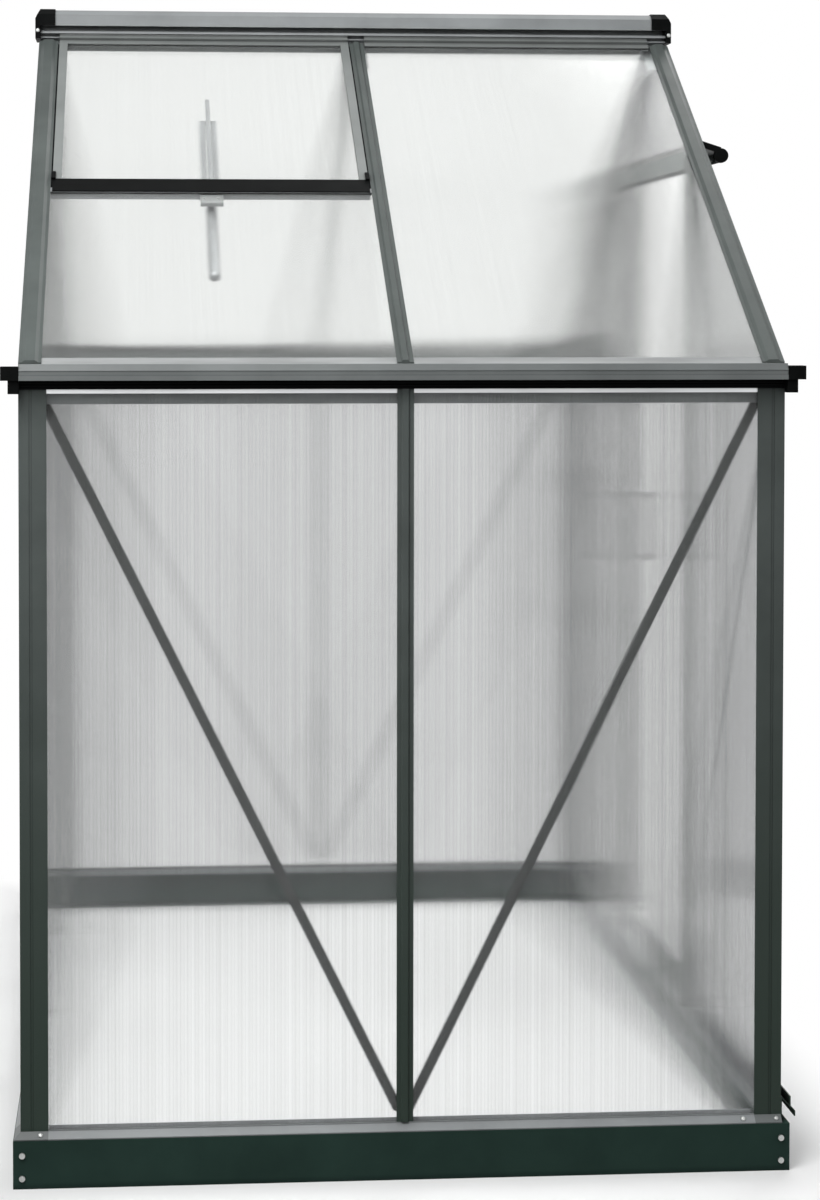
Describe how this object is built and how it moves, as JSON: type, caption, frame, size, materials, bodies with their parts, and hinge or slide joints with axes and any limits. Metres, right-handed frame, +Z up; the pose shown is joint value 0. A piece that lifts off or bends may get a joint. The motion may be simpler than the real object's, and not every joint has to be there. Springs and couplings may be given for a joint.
{
  "type": "greenhouse",
  "caption": "Free-standing apex greenhouse with a powder-coated aluminium frame, twin-wall sheets, a roof vent on a stay, eave gutters, a steel base and a sliding gable door.",
  "frame": {"origin": "middle of the ground rectangle that the assembly's outer box covers", "axes": "X along the eaves to the door gable, Y from the front eave wall to the back one, Z up"},
  "size_m": [1.36, 1.94, 2.0623],
  "materials": {
    "frame_metal": "satin powder coat",
    "base_steel": "satin powder coat",
    "zinc_steel": "zinc plated",
    "black_plastic": "moulded",
    "white_nylon": "moulded",
    "twin_wall_sheet": "clear fluted twin-wall sheet",
    "bare_aluminium": "mill finish"
  },
  "bodies": {
    "frame": {"eave_sills": "frame_metal", "gable_sills": "frame_metal", "corner_post_front_left": "frame_metal", "corner_post_front_right": "frame_metal", "corner_post_back_left": "frame_metal", "corner_post_back_right": "frame_metal", "mid_posts": "frame_metal", "left_gable_studs": "frame_metal", "door_post_front": "frame_metal", "door_post_rear": "frame_metal", "eave_gutter_front": "frame_metal", "eave_gutter_back": "frame_metal", "rafter_front_left": "frame_metal", "rafter_front_mid": "frame_metal", "rafter_front_right": "frame_metal", "rafter_back_left": "frame_metal", "rafter_back_mid": "frame_metal", "rafter_back_right": "frame_metal", "ridge_bar": "frame_metal", "ridge_glazing_rails": "frame_metal", "vent_cross_bar": "frame_metal", "door_head_rail": "frame_metal", "upper_door_track": "frame_metal", "lower_door_track": "frame_metal", "eave_wall_braces": "frame_metal", "gable_braces": "frame_metal", "base_front": "base_steel", "base_back": "base_steel", "base_left": "base_steel", "base_right": "base_steel", "base_corner_brackets": "zinc_steel", "base_screws": "zinc_steel", "gutter_end_caps": "black_plastic", "ridge_end_caps": "black_plastic", "track_end_caps": "black_plastic", "eave_wall_sheets": "twin_wall_sheet", "left_gable_sheets": "twin_wall_sheet", "right_gable_sheets": "twin_wall_sheet", "over_door_sheet": "twin_wall_sheet", "roof_sheet_front_right": "twin_wall_sheet", "roof_sheet_below_vent": "twin_wall_sheet", "roof_sheets_back": "twin_wall_sheet", "vent_stay_bracket": "bare_aluminium", "vent_stay_cylinder": "bare_aluminium"},
    "vent": {"vent_top_rail": "frame_metal", "vent_side_rails": "frame_metal", "vent_bottom_rail": "black_plastic", "vent_sheet": "twin_wall_sheet", "vent_stay_rail": "bare_aluminium"},
    "stay_arms": {"vent_stay_arms": "bare_aluminium"},
    "door": {"door_stiles": "frame_metal", "door_top_rail": "frame_metal", "door_bottom_rail": "frame_metal", "door_mid_rails": "frame_metal", "door_sheets": "twin_wall_sheet", "door_hangers": "zinc_steel", "door_guides": "white_nylon", "door_handle": "black_plastic"},
    "roller_front": {"door_roller_front": "white_nylon"},
    "roller_rear": {"door_roller_rear": "white_nylon"}
  },
  "joints": [
    {"name": "vent_hinge", "type": "hinge", "parent": "frame", "child": "vent", "pos_m": [-0.32, -0.024, 2.01127], "axis": [-1, 0, 0], "range_deg": [0, 22]},
    {"name": "stay_swing", "type": "hinge", "parent": "frame", "child": "stay_arms", "pos_m": [-0.32, -0.45126, 1.66083], "axis": [1, 0, 0], "range_deg": [0, 32.2]},
    {"name": "door_slide", "type": "slide", "parent": "frame", "child": "door", "axis": [0, -1, 0], "range_m": [0, 0.616]},
    {"name": "roller_front_spin", "type": "hinge", "parent": "door", "child": "roller_front", "pos_m": [0.644, 0.356, 1.755], "axis": [1, 0, 0], "range_deg": [0, 3925]},
    {"name": "roller_rear_spin", "type": "hinge", "parent": "door", "child": "roller_rear", "pos_m": [0.644, 0.876, 1.755], "axis": [1, 0, 0], "range_deg": [0, 3925]}
  ],
  "couplings": [
    {"joint": "stay_swing", "follows": "vent_hinge", "ratio": 1.46},
    {"joint": "roller_front_spin", "follows": "door_slide", "rad_per_m": 111.11},
    {"joint": "roller_rear_spin", "follows": "door_slide", "rad_per_m": 111.11}
  ]
}
